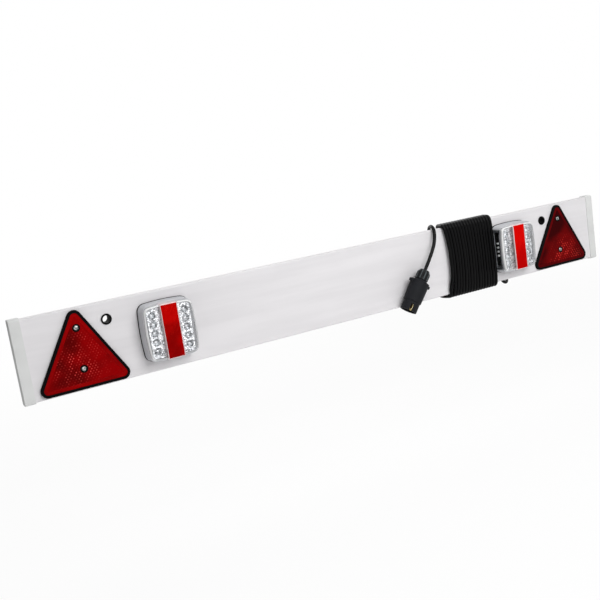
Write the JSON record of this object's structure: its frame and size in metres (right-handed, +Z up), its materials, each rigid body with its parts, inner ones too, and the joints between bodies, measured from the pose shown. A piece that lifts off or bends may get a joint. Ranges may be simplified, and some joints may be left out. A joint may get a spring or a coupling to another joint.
{
  "type": "trailer lighting board",
  "caption": "Long flat board that ties across a trailer's rear, with a lamp and a red warning triangle at each end, and its lead wound round it and ending in a round plug.",
  "frame": {"origin": "midway between the two tie holes, on the board's back face", "axes": "+X along the board, to the right as seen from the front; +Y from the front to the back; +Z up"},
  "size_m": [1.372, 0.1143, 0.1754],
  "materials": {
    "board_pvc": "extruded, satin white",
    "cap_plastic": "moulded, satin pale grey",
    "black_rubber": "moulded, dull",
    "black_plastic": "moulded, fine-grained",
    "reflector_red": "moulded prism lens",
    "plated_steel": "bright zinc plate",
    "lamp_grey": "moulded, silver grey",
    "circuit_green": "lacquered",
    "led_resin": "cast, clear",
    "chromed_plastic": "vacuum chromed",
    "clear_plastic": "moulded, clear",
    "strip_red": "moulded reflex strip",
    "window_plastic": "moulded, clear",
    "lead_sheath": "extruded PVC, satin",
    "pin_brass": "turned"
  },
  "bodies": {
    "root": {"board": "board_pvc", "left_end_cap": "cap_plastic", "left_tie_grommet": "black_rubber", "left_reflector_tray": "black_plastic", "left_reflector_lens": "reflector_red", "left_reflector_screws": "plated_steel", "left_reflector_washers": "plated_steel", "left_reflector_nuts": "plated_steel", "left_lamp_studs": "plated_steel", "left_lamp_washers": "plated_steel", "left_lamp_nuts": "plated_steel", "left_lamp_gasket": "black_rubber", "left_lamp_base": "lamp_grey", "left_lamp_circuit": "circuit_green", "left_lamp_plate_circuit": "circuit_green", "left_lamp_leds": "led_resin", "left_lamp_plate_leds": "led_resin", "left_lamp_cups": "chromed_plastic", "left_lamp_lens": "clear_plastic", "left_lamp_strip": "strip_red", "left_lamp_window": "window_plastic", "right_end_cap": "cap_plastic", "right_tie_grommet": "black_rubber", "right_reflector_tray": "black_plastic", "right_reflector_lens": "reflector_red", "right_reflector_screws": "plated_steel", "right_reflector_washers": "plated_steel", "right_reflector_nuts": "plated_steel", "right_lamp_studs": "plated_steel", "right_lamp_washers": "plated_steel", "right_lamp_nuts": "plated_steel", "right_lamp_gasket": "black_rubber", "right_lamp_base": "lamp_grey", "right_lamp_circuit": "circuit_green", "right_lamp_plate_circuit": "circuit_green", "right_lamp_leds": "led_resin", "right_lamp_plate_leds": "led_resin", "right_lamp_cups": "chromed_plastic", "right_lamp_lens": "clear_plastic", "right_lamp_strip": "strip_red", "right_lamp_window": "window_plastic", "link_cable": "lead_sheath", "lead_feed": "lead_sheath", "lead_start": "lead_sheath", "lead_winding": "lead_sheath", "lead_tail": "lead_sheath", "plug_lead_end": "lead_sheath", "lead_gland": "black_rubber", "plug_seal": "black_rubber", "plug_body": "black_plastic", "plug_gland_nut": "black_plastic", "plug_carrier": "black_plastic", "plug_pins": "pin_brass"}
  },
  "joints": []
}
